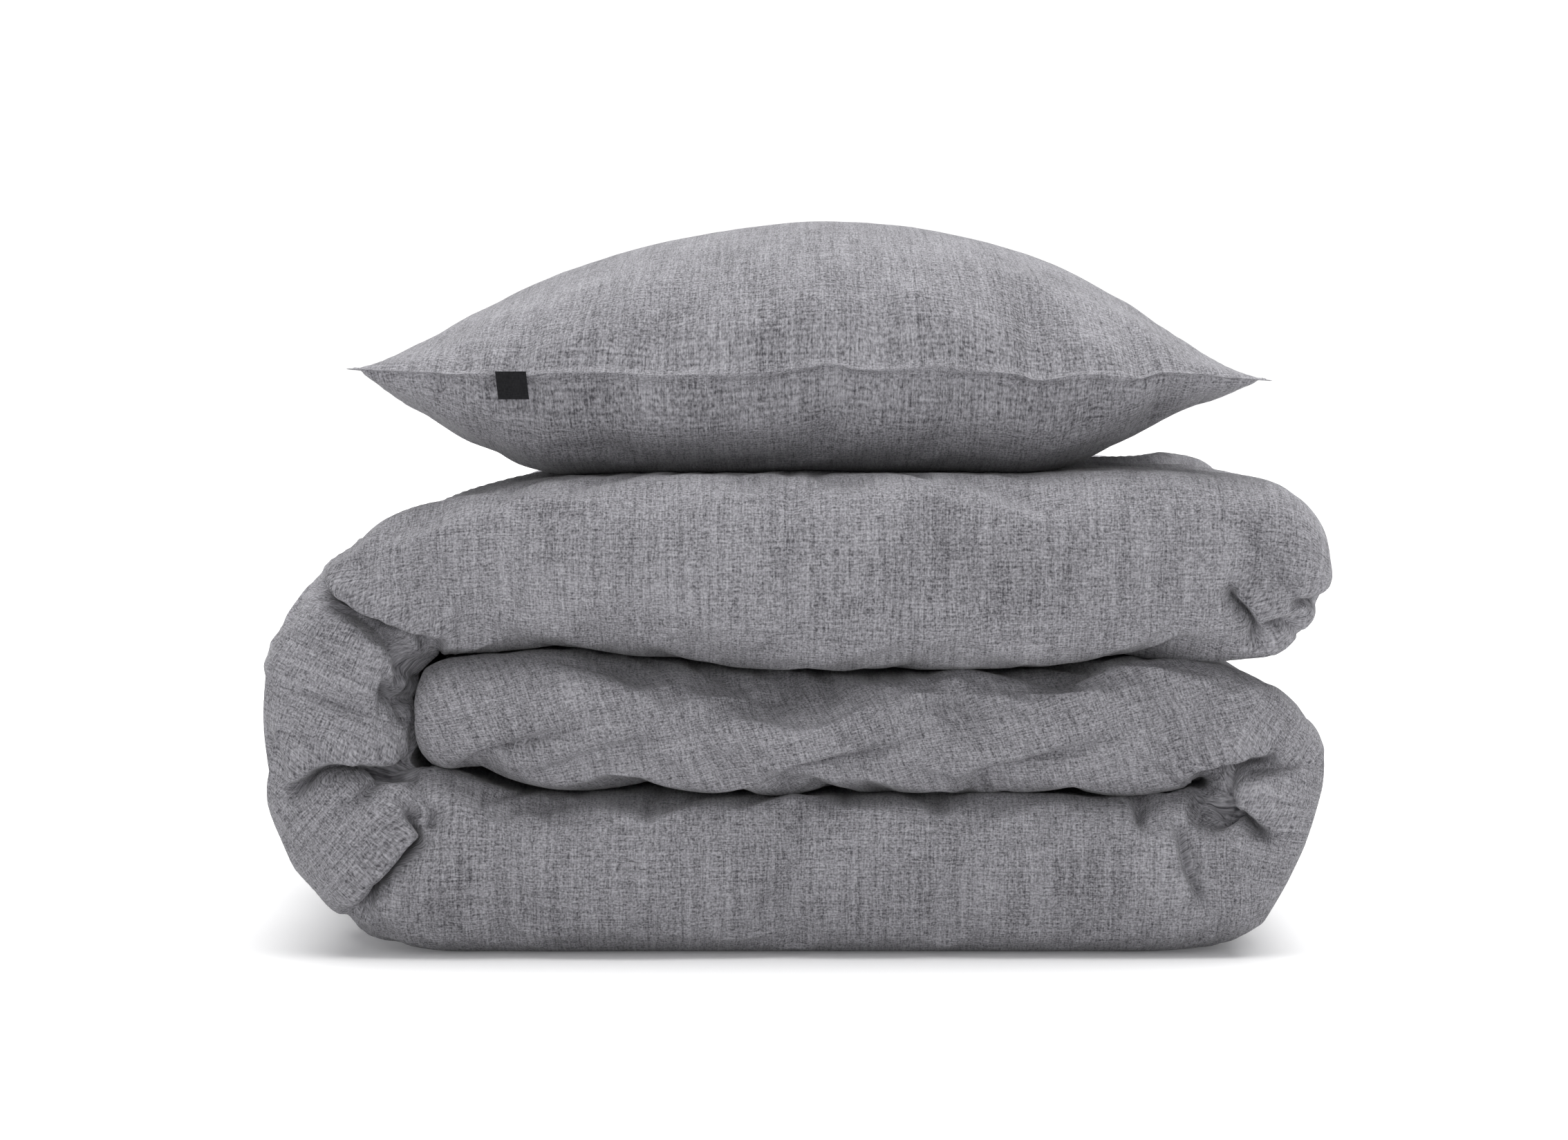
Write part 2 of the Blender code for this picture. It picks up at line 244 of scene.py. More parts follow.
# %% Outline of the folded strip
# outer x, outer z, inner x, inner z, and how far the front stands back from the foremost roll
FOLD = [
    (0.318, 0.336, 0.312, 0.208, 0.004),
    (0.250, 0.345, 0.250, 0.213, 0.003),
    (0.150, 0.341, 0.150, 0.203, 0.002),
    (0.000, 0.341, 0.000, 0.203, 0.002),
    (-0.100, 0.341, -0.100, 0.211, 0.003),
    (-0.185, 0.337, -0.180, 0.219, 0.004),
    (-0.250, 0.321, -0.240, 0.217, 0.004),
    (-0.302, 0.297, -0.265, 0.209, 0.003),
    (-0.344, 0.266, -0.273, 0.199, 0.003),
    (-0.372, 0.228, -0.2745, 0.186, 0.003),
    (-0.383, 0.182, -0.273, 0.169, 0.003),
    (-0.378, 0.130, -0.271, 0.149, 0.002),
    (-0.359, 0.076, -0.269, 0.134, 0.001),
    (-0.325, 0.030, -0.262, 0.129, 0.000),
    (-0.270, 0.003, -0.243, 0.126, 0.000),
    (-0.200, 0.000, -0.190, 0.112, 0.000),
    (-0.100, 0.000, -0.100, 0.114, 0.000),
    (0.000, 0.000, 0.000, 0.110, 0.000),
    (0.100, 0.000, 0.100, 0.113, 0.000),
    (0.200, 0.000, 0.200, 0.110, 0.000),
    (0.275, 0.001, 0.262, 0.113, 0.001),
    (0.322, 0.012, 0.286, 0.116, 0.003),
    (0.354, 0.046, 0.293, 0.118, 0.004),
    (0.372, 0.092, 0.295, 0.120, 0.005),
    (0.377, 0.135, 0.294, 0.122, 0.006),
    (0.356, 0.177, 0.290, 0.123, 0.007),
    (0.316, 0.199, 0.280, 0.121, 0.008),
    (0.250, 0.208, 0.245, 0.116, 0.009),
    (0.150, 0.199, 0.150, 0.116, 0.009),
    (0.000, 0.200, 0.000, 0.114, 0.009),
    (-0.090, 0.207, -0.090, 0.118, 0.008),
    (-0.160, 0.215, -0.160, 0.118, 0.007),
    (-0.216, 0.211, -0.216, 0.131, 0.007),
]
STEP = 0.010  # from one station of the strip to the next
TURN_EXTRA = 0.12  # metres of extra stations for each radian that the strip turns
HEAD_ROUNDING = 0.066  # length over which the free end at the right rounds off
FOOT_ROUNDING = 0.052  # and the tucked end at the left
FRONT_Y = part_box("cover_outer_panel")[0][1]
BACK_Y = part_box("cover_outer_panel")[1][1]

line = through(FOLD, 24)
middle_line = (line[:, 0:2] + line[:, 2:4]) / 2
steps = np.diff(middle_line, axis=0)
turned = np.abs(np.diff(np.unwrap(np.arctan2(steps[:, 1], steps[:, 0]))))
crowding = np.concatenate([[0], np.cumsum(np.append(turned, 0))]) * TURN_EXTRA
outer_along = lengths_along(line[:, 0:2])
strip = evenly(line, 0.5 * (lengths_along(middle_line) + outer_along) + crowding, STEP)


def rounded_end(station, direction, length, roundness):
    """Stations past the end of the strip, shrinking to a blunt tip. direction is 1 to the right."""
    ox, oz, ix, iz, setback = station
    centre = np.array([(ox + ix) / 2, (oz + iz) / 2])
    half = np.array([(ox - ix) / 2, (oz - iz) / 2])
    stations = []
    for i in range(1, 10):
        reach = math.sin(math.pi / 2 * i / 9)
        share = max(0.10, (1 - reach**roundness) ** (1 / roundness))
        middle = centre + np.array([direction * length * reach, 0])
        stations.append((*(middle + half * share), *(middle - half * share), setback, share))
    return stations


full = np.column_stack([strip, np.ones(len(strip))])
head = rounded_end(strip[0], 1, HEAD_ROUNDING, 2.2)[::-1]
foot = rounded_end(strip[-1], -1, FOOT_ROUNDING, 3.4)
strip = np.vstack([head, full, foot])
print(len(strip), "stations,", round(lengths_along(middle_line)[-1], 2), "m of folded strip")

# %% [markdown]
# ## The duvet's section
#
# Cut across, each layer is two plies with a round fold at the front, because the duvet was first
# folded in half. The section is drawn once, as a ring of points: over the outer ply, round the
# front, back under the inner ply, and in and out of the narrow slit between the two. The same ring
# is then placed at every station, scaled to the strip's thickness there. Each point's place along
# the ring and along the strip is kept as a UV in metres, so that the weave follows the cloth.

# %% Section ring
FRONT_REACH = 0.060  # depth of the front roll
FRONT_POINTS = 34
FLAT_POINTS = 14
EDGE_POINTS = 7
SLIT_POINTS = 7
SLIT = 0.03  # half the gap between the plies, as a share of half the thickness
FRONT_SHAPE = 2.7  # 2 is an ellipse, and more is squarer
EDGE_DEPTH = 0.030


def section_ring():
    """Points as (depth from the front, place across from -1 to 1), in order round the section."""
    depth = BACK_Y - FRONT_Y
    turn = np.linspace(math.pi / 2, -math.pi / 2, FRONT_POINTS)
    front_y = FRONT_REACH * (1 - np.abs(np.cos(turn)) ** (2 / FRONT_SHAPE))
    front_a = np.sign(np.sin(turn)) * np.abs(np.sin(turn)) ** (2 / FRONT_SHAPE)
    far = depth - EDGE_DEPTH
    share = (np.arange(1, FLAT_POINTS) / FLAT_POINTS) ** 1.5
    flat_y = FRONT_REACH + (far - FRONT_REACH) * share
    edge = np.linspace(math.pi / 2, -math.pi / 2, EDGE_POINTS)
    edge_y = far + EDGE_DEPTH * np.cos(edge)
    edge_a = (1 + SLIT) / 2 + (1 - SLIT) / 2 * np.sin(edge)
    slit_y = np.linspace(far, FRONT_REACH * 0.7, SLIT_POINTS)[1:]
    up = np.column_stack([edge_y, edge_a])
    ring = [
        np.column_stack([slit_y[::-1], np.full(len(slit_y), SLIT)]),
        up[::-1],
        np.column_stack([flat_y[::-1], np.ones(len(flat_y))]),
        np.column_stack([front_y, front_a]),
        np.column_stack([flat_y, -np.ones(len(flat_y))]),
        up * (1, -1),
        np.column_stack([slit_y, np.full(len(slit_y), -SLIT)]),
    ]
    return np.vstack(ring)


ring = section_ring()
ring_length = lengths_along(np.column_stack([ring[:, 0], ring[:, 1] * 0.055]))
print(len(ring), "points round the section,", round(ring_length[-1], 2), "m of cloth")


# %% [markdown]
# ## Sweeping the section along the strip
#
# A loft like this has no ready-made operator, so the vertices are laid out in rows, one row for
# each station, and each row is joined to the next. Two shapes come out of it. One is the folded
# duvet. The other is the same duvet folded less tightly, and it becomes the cloth's rest shape: the
# cloth then has too much length inside each turn and too little outside, as a real duvet has, and
# the simulation finds the creases by itself.

# %% Sweep
EASE = 0.30  # share of each turn that the rest shape opens out
END_SQUEEZE = 0.55  # how much the very ends also draw back at the front


def unrolled(centres, across, ease):
    """The line of stations with its turns opened by a share, and the across vectors with it."""
    steps = np.diff(centres, axis=0)
    heading = np.unwrap(np.arctan2(steps[:, 1], steps[:, 0]))
    new_heading = heading[0] + (heading - heading[0]) * (1 - ease)
    size = np.linalg.norm(steps, axis=1)
    moved = np.column_stack([np.cos(new_heading), np.sin(new_heading)]) * size[:, None]
    line = np.vstack([centres[:1], centres[0] + np.cumsum(moved, axis=0)])
    turn = np.append(new_heading - heading, new_heading[-1] - heading[-1])
    cos, sin = np.cos(turn), np.sin(turn)
    turned = np.column_stack(
        [across[:, 0] * cos - across[:, 1] * sin, across[:, 0] * sin + across[:, 1] * cos]
    )
    return line, turned


def swept_points(stations, centres, across):
    rows = []
    depth_all = BACK_Y - FRONT_Y
    for (_, _, _, _, setback, share), centre, side in zip(stations, centres, across):
        pull = (1 - share) * END_SQUEEZE * FRONT_REACH + setback
        depth = FRONT_Y + pull + ring[:, 0] * (depth_all - pull - (1 - share) * 0.012) / depth_all
        at = centre + ring[:, 1:2] * side
        rows.append(np.column_stack([at[:, 0], depth, at[:, 1]]))
    return np.array(rows)


centres = (strip[:, 0:2] + strip[:, 2:4]) / 2
across = (strip[:, 0:2] - strip[:, 2:4]) / 2
folded = swept_points(strip, centres, across)
rest_centres, rest_across = unrolled(centres, across, EASE)
rested = swept_points(strip, rest_centres, rest_across)
along = lengths_along(centres)


def lofted(name, grid, u_values, v_values):
    """A closed mesh through a grid of rows, with flat ends, and UVs in metres."""
    rows, columns = grid.shape[:2]
    index = np.arange(rows * columns).reshape(rows, columns)
    after = np.roll(index, -1, axis=1)
    quads = np.stack([index[:-1], after[:-1], after[1:], index[1:]], axis=-1).reshape(-1, 4)
    faces = quads.tolist()
    faces += [index[0, ::-1].tolist(), index[-1].tolist()]
    mesh = bpy.data.meshes.new(name)
    mesh.from_pydata(grid.reshape(-1, 3).tolist(), [], faces)
    corner = corners_of(mesh)
    u, v = u_values[corner // columns], v_values[corner % columns]
    write_uvs(mesh.uv_layers.new(name="cloth"), np.column_stack([u, v]))
    mesh.update()
    obj = bpy.data.objects.new(name, mesh)
    bpy.context.scene.collection.objects.link(obj)
    select_only(obj)
    bpy.ops.object.mode_set(mode="EDIT")
    bpy.ops.mesh.select_all(action="SELECT")
    bpy.ops.mesh.quads_convert_to_tris(quad_method="BEAUTY", ngon_method="BEAUTY")
    bpy.ops.mesh.normals_make_consistent(inside=False)
    bpy.ops.object.mode_set(mode="OBJECT")
    return obj


duvet = lofted("duvet_cover", folded, along, ring_length)


# %% [markdown]
# ## Which way the weave runs
#
# Where the strip turns, the cloth doesn't stretch round the turn: it stays flat between two folds
# and changes direction at each. One unbroken sheet of UVs would fan the weave out instead. So the
# UVs are laid flat patch by patch. The patches meet at the folds, and each has its own turn of the
# weave in degrees.

# %% Weave direction
# where each patch ends, as a point on the outer side of the strip, and the turn of its weave
PATCHES = [
    ((-0.345, 0.265), 0),
    ((-0.373, 0.112), -16),
    ((-0.322, 0.026), 14),
    ((0.340, 0.027), 0),
    ((0.377, 0.137), 8),
    ((0.335, 0.193), 10),
    (None, 16),
]
FLAT_REACH = 0.085


def patch_uvs():
    """A (station, ring, 2) table of UVs for the patch that each station starts in."""
    marks = [0]
    for at, _ in PATCHES[:-1]:
        marks.append(int(np.argmin(np.linalg.norm(strip[:, 0:2] - at, axis=1))))
    marks.append(len(strip))
    outward = across / np.linalg.norm(across, axis=1, keepdims=True)
    middle = ring_length[len(ring) // 2]
    beside = np.clip(middle - ring_length, -FLAT_REACH, FLAT_REACH)
    beyond = middle - ring_length - beside
    tables = []
    for (low, high), (_, turn) in zip(zip(marks, marks[1:]), PATCHES):
        span = slice(low, min(high + 1, len(strip)))
        mean = np.median(np.gradient(centres, axis=0)[span], axis=0)
        angle = math.atan2(mean[1], mean[0]) + math.radians(turn)
        e1 = np.array([math.cos(angle), math.sin(angle)])
        origin = (low + high) // 2
        e2 = np.array([-e1[1], e1[0]])
        e2 *= np.sign(e2 @ outward[origin])
        flat = (centres - centres[origin])[:, None] + outward[:, None] * beside[:, None]
        u = along[origin] + flat @ e1
        v = middle - flat @ e2 - beyond
        tables.append((low, high, np.stack([u, v], axis=-1)))
    return tables


def lay_uvs(mesh, columns):
    """Each face takes its UVs from the patch of its first station."""
    counts = np.empty(len(mesh.polygons), dtype=np.int64)
    mesh.polygons.foreach_get("loop_total", counts)
    corner = corners_of(mesh)
    face = np.repeat(np.arange(len(counts)), counts)
    first = np.full(len(counts), 10**9)
    np.minimum.at(first, face, corner // columns)
    uv = np.zeros((len(corner), 2))
    for low, high, table in patch_uvs():
        mine = (first[face] >= low) & (first[face] < high)
        uv[mine] = table[corner[mine] // columns, corner[mine] % columns]
    write_uvs(mesh.uv_layers["cloth"], uv)


lay_uvs(duvet.data, len(ring))
print("duvet cover", len(duvet.data.vertices), "points")

# %% [markdown]
# ## Letting the cloth settle
#
# The filling pushes outwards, so the cloth gets pressure and no gravity. Where a layer lies on the
# next one it can't move, and those points are held. The front rolls, the turns and the free end are
# left loose, a little more the further out they are. The run is short: the cloth only has to swell
# and find its folds. The result is copied into the mesh, with a cap on how far a point may go, and
# the modifier is taken away again.


# %% Cloth helper
def weigh(obj, name, weights):
    """A vertex group with the weights, in tenths."""
    group = obj.vertex_groups.new(name=name)
    for level in range(1, 11):
        chosen = np.nonzero(np.round(weights * 10) == level)[0]
        if len(chosen):
            group.add(chosen.tolist(), level / 10, "REPLACE")


def settle(obj, hold, slack, frames, pressure, bending, cap, rest=None):
    """Runs Blender's Cloth and keeps the result. hold is 1 where a point is fixed, and slack is
    how much longer the cloth is there than its rest shape."""
    mesh = obj.data
    start = points_of(mesh)
    weigh(obj, "hold", hold)
    weigh(obj, "taut", 1 - slack / slack.max())
    cloth = obj.modifiers.new("settle", "CLOTH")
    settings = cloth.settings
    settings.quality = 5
    settings.mass = 0.25
    settings.tension_stiffness = 25
    settings.compression_stiffness = 25
    settings.shear_stiffness = 8
    settings.bending_stiffness = bending
    settings.tension_damping = 8
    settings.compression_damping = 8
    settings.shear_damping = 8
    settings.bending_damping = 1
    settings.air_damping = 2
    settings.use_pressure = True
    settings.uniform_pressure_force = pressure
    settings.effector_weights.gravity = 0
    settings.vertex_group_mass = "hold"
    settings.pin_stiffness = 1.5
    settings.vertex_group_shrink = "taut"
    settings.shrink_min = -float(slack.max())
    settings.shrink_max = 0
    if rest is not None:
        obj.shape_key_add(name="Basis")
        key = obj.shape_key_add(name="rest")
        key.data.foreach_set("co", np.ascontiguousarray(rest, dtype=np.float32).ravel())
        settings.rest_shape_key = key
    cloth.point_cache.frame_start = 1
    cloth.point_cache.frame_end = frames
    scene = bpy.context.scene
    for number in range(1, frames + 1):
        scene.frame_set(number)
    shaped = obj.evaluated_get(bpy.context.evaluated_depsgraph_get())
    result = points_of(shaped.data)
    obj.modifiers.remove(cloth)
    if rest is not None:
        obj.shape_key_clear()
    obj.vertex_groups.clear()
    scene.frame_set(1)
    travel = result - start
    far = np.linalg.norm(travel, axis=1, keepdims=True)
    travel *= np.minimum(1, cap / np.maximum(far, 1e-9))
    move_points(mesh, start + travel)
    mean, most = round(float(far.mean()) * 1000, 1), round(float(far.max()) * 1000, 1)
    print(obj.name, "moved", mean, "mm on average, most", most)


# %% [markdown]
# ## Where the duvet creases
#
# The big creases sit where the duvet turns and where its free end was pushed together. Two long
# ones frame the top of the left turn, two more divide it lower down, one overhangs a pocket in the
# right turn, and a few soft ones run slantwise over the middle layer. They could be left to the
# simulation alone, but it puts them wherever it likes. So they are laid in coarsely before the run,
# with their valleys pinned, and the simulation shapes the cloth between them.

# %% Folds of the duvet
# stretches of the strip, as shares of its length
LEFT = (0.16, 0.66)
RIGHT = (0.50, 1.0)
HEAD = (0.0, 0.20)
FOOT = (0.78, 1.0)
# line as the camera sees it, strength, its stretch, and over what share of it each end fades
DEEP_FOLDS = [
    ([(-0.344, 0.28), (-0.331, 0.259), (-0.312, 0.2445), (-0.292, 0.233), (-0.275, 0.2245),
      (-0.25, 0.214)], 1.0, LEFT, (0.15, 0.1)),
    ([(-0.273, 0.193), (-0.28, 0.206), (-0.2925, 0.218), (-0.3075, 0.23), (-0.322, 0.241),
      (-0.346, 0.256)], 0.55, LEFT, (0.1, 0.3)),
    ([(-0.298, 0.19), (-0.288, 0.187), (-0.273, 0.18)], 0.6, LEFT, (0.2, 0.1)),
    ([(-0.355, 0.189), (-0.335, 0.18), (-0.315, 0.175), (-0.296, 0.166)], 0.25, LEFT, (0.3, 0.4)),
    ([(-0.372, 0.112), (-0.35, 0.1264), (-0.335, 0.131), (-0.312, 0.132), (-0.288, 0.133),
      (-0.27, 0.137)], 1.0, LEFT, (0.15, 0.05)),
    ([(-0.268, 0.134), (-0.2925, 0.1226), (-0.312, 0.109), (-0.332, 0.0965)],
     0.35, LEFT, (0.1, 0.4)),
    ([(-0.322, 0.022), (-0.315, 0.032), (-0.3025, 0.047), (-0.2876, 0.064), (-0.2776, 0.077),
      (-0.268, 0.09)], 1.0, LEFT, (0.15, 0.15)),
    ([(-0.274, 0.083), (-0.2785, 0.094), (-0.2764, 0.106)], 0.5, LEFT, (0.2, 0.3)),
    ([(-0.266, 0.087), (-0.2614, 0.0928), (-0.259, 0.105)], 0.4, LEFT, (0.2, 0.3)),
    ([(0.284, 0.1195), (0.302, 0.1252), (0.318, 0.131), (0.333, 0.1365), (0.359, 0.1413)],
     0.9, RIGHT, (0.3, 0.3)),
    ([(0.378, 0.134), (0.35, 0.13), (0.322, 0.126)], 0.35, RIGHT, (0.35, 0.3)),
    ([(0.3, 0.118), (0.3107, 0.11), (0.325, 0.1), (0.3365, 0.09), (0.3425, 0.08), (0.34, 0.07)],
     1.0, RIGHT, (0.1, 0.35)),
    ([(0.307, 0.108), (0.312, 0.098), (0.318, 0.092)], 0.45, RIGHT, (0.2, 0.4)),
    ([(0.302, 0.022), (0.2853, 0.05), (0.2796, 0.076), (0.276, 0.1)], 0.4, RIGHT, (0.3, 0.3)),
    ([(0.249, 0.086), (0.247, 0.098), (0.246, 0.112)], 0.4, RIGHT, (0.5, 0.1)),
    ([(0.3115, 0.27), (0.319, 0.2535), (0.328, 0.242), (0.336, 0.229), (0.333, 0.214)],
     0.8, HEAD, (0.3, 0.1)),
    ([(0.384, 0.25), (0.372, 0.249), (0.358, 0.254)], 0.35, HEAD, (0.1, 0.4)),
    ([(0.366, 0.226), (0.352, 0.231), (0.342, 0.236)], 0.5, HEAD, (0.1, 0.4)),
    ([(0.3, 0.312), (0.333, 0.293), (0.352, 0.27), (0.367, 0.248)], 0.25, HEAD, (0.5, 0.3)),
    ([(-0.245, 0.126), (-0.213, 0.1413), (-0.188, 0.151), (-0.163, 0.16), (-0.13, 0.172)],
     0.35, FOOT, (0.2, 0.5)),
    ([(-0.19, 0.124), (-0.15, 0.136), (-0.105, 0.153), (-0.06, 0.173)], 0.25, FOOT, (0.3, 0.5)),
    ([(-0.03, 0.118), (0.02, 0.13), (0.07, 0.148), (0.11, 0.168)], 0.3, FOOT, (0.3, 0.5)),
    ([(0.11, 0.12), (0.155, 0.13), (0.205, 0.146), (0.25, 0.166)], 0.3, (0.66, 1.0), (0.3, 0.5)),
]

# beside some folds the cloth sinks in a broad hollow: line, depth, width, stretch, fading ends
HOLLOWS = [
    ([(0.284, 0.108), (0.302, 0.100), (0.318, 0.087)], 0.012, 0.014, RIGHT, (0.2, 0.4)),
    ([(-0.338, 0.249), (-0.312, 0.231), (-0.290, 0.217), (-0.272, 0.203)],
     0.006, 0.008, LEFT, (0.3, 0.1)),
]
# where the folds of the left turn meet, the cloth is drawn in
DIMPLE = ([(-0.286, 0.139), (-0.272, 0.139), (-0.258, 0.135)], 1.0, (0.35, 0.1))

# %% Coarse folds
COARSE = {"width": 0.008, "depth": 0.020, "over": 0, "under": 0.004}

station = np.repeat(np.arange(len(strip)), len(ring)) / (len(strip) - 1)
ring_depth = np.tile(ring[:, 0], len(strip))
ring_across = np.tile(ring[:, 1], len(strip))


def stretch_of(share, depth, span):
    """1 on the front of one stretch of the strip, fading out beyond it and towards the back."""
    low, high = span
    inside = soft_step(share, low - 0.02, low) * (1 - soft_step(share, high, high + 0.02))
    return inside * (1 - soft_step(depth, 0.09, 0.16))


base = points_of(duvet.data)
outward = normals_of(duvet.data)
for name, values in (("station", station), ("base", base), ("outward", outward)):
    keep_values(duvet.data, name, values)
start = base.copy()
valleys = np.zeros(len(start))
for line, strength, span, ends in DEEP_FOLDS:
    where = stretch_of(station, ring_depth, span)
    start = lay_fold(start, base, outward, where, (line, strength, ends), **COARSE)
    far, side, share = near_line(as_seen(base), through(line, 6))
    on_line = np.exp(-((far / 0.006) ** 2)) * (share > 0.02) * (share < 0.98)
    valleys = np.maximum(valleys, strength * where * on_line)
for line, depth, width, span, ends in HOLLOWS:
    where = stretch_of(station, ring_depth, span)
    start = lay_fold(start, base, outward, where, (line, 1.0, ends), width, depth, 0, 0)
    far, side, share = near_line(as_seen(base), through(line, 6))
    on_line = np.exp(-((far / width) ** 2)) * (share > 0.02) * (share < 0.98)
    valleys = np.maximum(valleys, 0.9 * where * on_line)
move_points(duvet.data, start)
print(len(DEEP_FOLDS), "folds and", len(HOLLOWS), "hollows laid in")

# %% [markdown]
# ## What is held and what is loose
#
# Most of the duvet can't move: its layers lie on each other, and the bottom one on the floor. The
# front rolls are loose, the outside of the turns half loose, and the free end nearly so. The left
# turn gets a little more spare cloth than the rest, because that is where a folded duvet bunches.

# %% Settle the duvet
at_front = 1 - soft_step(ring_depth, 0.055, 0.12)
on_outside = soft_step(ring_across, 0.75, 0.95) * (1 - soft_step(station, 0.70, 0.76))
at_end = 1 - soft_step(station, 0.04, 0.06)
loose = np.clip(np.maximum(at_front, np.maximum(0.5 * on_outside, 0.8 * at_end)), 0, 1)
on_floor = 1 - soft_step(folded.reshape(-1, 3)[:, 2], 0.001, 0.02)
in_slit = (np.abs(ring_across) < SLIT * 1.5) & (ring_depth > 0.02)
hold = np.maximum(1 - loose * (1 - on_floor), np.clip(1.3 * valleys, 0, 1))
hold[in_slit] = 1
slack = 0.03 + 0.02 * soft_step(station, 0.70, 0.76)
slack = slack + 0.03 * stretch_of(station, 0 * station, (0.25, 0.45))
opened = rested.reshape(-1, 3)
settle(
    duvet, hold, slack, frames=22, pressure=2.5, bending=0.02, cap=0.022, rest=opened
)
points = points_of(duvet.data)
points[:, 2] = np.maximum(points[:, 2], 0)
move_points(duvet.data, points)

# %% [markdown]
# ## Crisp folds
#
# After the run the valleys are in place but soft, because the mesh is coarse. It is subdivided
# once, its edges near the folds are split twice more, and the same folds are laid in again, narrow
# and deep, each with its lip. Points that are split carry the smooth shape's place and direction
# along as attributes, so a fold lands where it was before.


# %% Finer mesh
def make_finer(obj):
    """One level of subdivision, kept in the mesh."""
    select_only(obj)
    finer = obj.modifiers.new("finer", "SUBSURF")
    finer.levels = 1
    finer.render_levels = 1
    bpy.ops.object.modifier_apply(modifier="finer")
    for polygon in obj.data.polygons:
        polygon.use_smooth = True
    print(obj.name, len(obj.data.polygons), "faces")


def split_edges(obj, chosen):
    """Splits the edges between chosen points, because a crisp fold needs closer points."""
    work = bmesh.new()
    work.from_mesh(obj.data)
    work.verts.ensure_lookup_table()
    edges = [e for e in work.edges if chosen[e.verts[0].index] and chosen[e.verts[1].index]]
    bmesh.ops.subdivide_edges(work, edges=edges, cuts=1, use_grid_fill=True)
    work.to_mesh(obj.data)
    work.free()
    print(obj.name, len(edges), "edges split")


make_finer(duvet)


# %% Crisp folds
CRISP = {"width": 0.0028, "depth": 0.012, "over": 0.009, "under": 0.004}
DIMPLE_SIZE = {"width": 0.006, "depth": 0.024, "over": 0, "under": 0}
SPLIT_REACHES = (0.016, 0.009)  # how far from a fold the edges are split, once for each


def near_folds(mesh, reach):
    """Which points lie within reach of a fold, on the stretch that the fold belongs to."""
    seen = as_seen(kept_values(mesh, "base", 3))
    share = kept_values(mesh, "station", 1)
    depth = kept_values(mesh, "base", 3)[:, 1] - FRONT_Y
    chosen = np.zeros(len(seen), dtype=bool)
    for line, strength, span, ends in DEEP_FOLDS:
        far, _, _ = near_line(seen, through(line, 6))
        chosen |= (far < reach) & (stretch_of(share, depth, span) > 0.3)
    return chosen


def sharpen(obj):
    base = kept_values(obj.data, "base", 3)
    outward = kept_values(obj.data, "outward", 3)
    outward /= np.linalg.norm(outward, axis=1, keepdims=True)
    share = kept_values(obj.data, "station", 1)
    points = points_of(obj.data)
    for line, strength, span, ends in DEEP_FOLDS:
        where = stretch_of(share, base[:, 1] - FRONT_Y, span)
        points = lay_fold(points, base, outward, where, (line, strength, ends), **CRISP)
    where = stretch_of(share, base[:, 1] - FRONT_Y, LEFT)
    points = lay_fold(points, base, outward, where, DIMPLE, **DIMPLE_SIZE)
    move_points(obj.data, points)


for reach in SPLIT_REACHES:
    split_edges(duvet, near_folds(duvet.data, reach))
sharpen(duvet)


# %% Weave in the folds
def weave_into_folds(obj):
    """The wall of a deep fold runs straight away from the front, where the UVs would be drawn out.
    So they are moved by how far each point sank beyond the depth of a soft fold."""
    mesh = obj.data
    sunk = points_of(mesh)[:, 1] - kept_values(mesh, "base", 3)[:, 1]
    sunk = np.maximum(0, sunk - 0.007)
    corner = corners_of(mesh)
    uv = np.empty(len(corner) * 2, dtype=np.float32)
    layer = mesh.uv_layers["cloth"]
    layer.data.foreach_get("uv", uv)
    write_uvs(layer, uv.reshape(-1, 2) + sunk[corner, None] * np.array([0.85, 0.55]))


weave_into_folds(duvet)
for name in ("station", "base", "outward"):
    duvet.data.attributes.remove(duvet.data.attributes[name])
print("duvet cover", len(duvet.data.polygons), "faces with its folds")

# %% Place of the duvet cover
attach(duvet, "duvet")
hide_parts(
    "cover_outer_panel",
    "cover_inner_panel",
    "insert_outer_ticking",
    "insert_inner_ticking",
    "insert_filling",
)

# %% [markdown]
# ## The pillow
#
# A pillowcase is two flat panels sewn together round the rim. The mesh starts near the filled
# shape, so that the run is short, but its rest shape is the two flat panels. That leaves too much
# cloth along the seams and too little over the crown, which is why a real pillow is smooth in the
# middle and puckered at its sides. The profile along the pillow is a line through a few points.

# %% Pillowcase shape
PANEL = (0.700, 0.600)  # one panel laid flat
SPAN = (0.668, 0.575)  # corner to corner once filled
PILLOW_MIDDLE = (0.011, -0.020)
SEAM_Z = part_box("pillow_label")[1][2]
CROWN = 0.113
BELLY = 0.0755
LIP = 0.008  # width of the flat lip outside the seam
CELLS = (70, 60)
# place along the pillow, height of the top and drop of the underside as shares of the fullest
PROFILE = [
    (-1.00, 0.000, 0.00),
    (-0.97, 0.045, 0.12),
    (-0.93, 0.090, 0.22),
    (-0.85, 0.210, 0.41),
    (-0.73, 0.410, 0.70),
    (-0.61, 0.590, 0.94),
    (-0.52, 0.695, 1.00),
    (-0.37, 0.833, 1.00),
    (-0.25, 0.910, 1.00),
    (-0.10, 0.975, 1.00),
    (0.03, 1.000, 1.00),
    (0.20, 0.975, 1.00),
    (0.34, 0.905, 1.00),
    (0.46, 0.820, 1.00),
    (0.58, 0.686, 0.90),
    (0.70, 0.486, 0.62),
    (0.82, 0.246, 0.35),
    (0.91, 0.080, 0.20),
    (1.00, 0.000, 0.00),
]
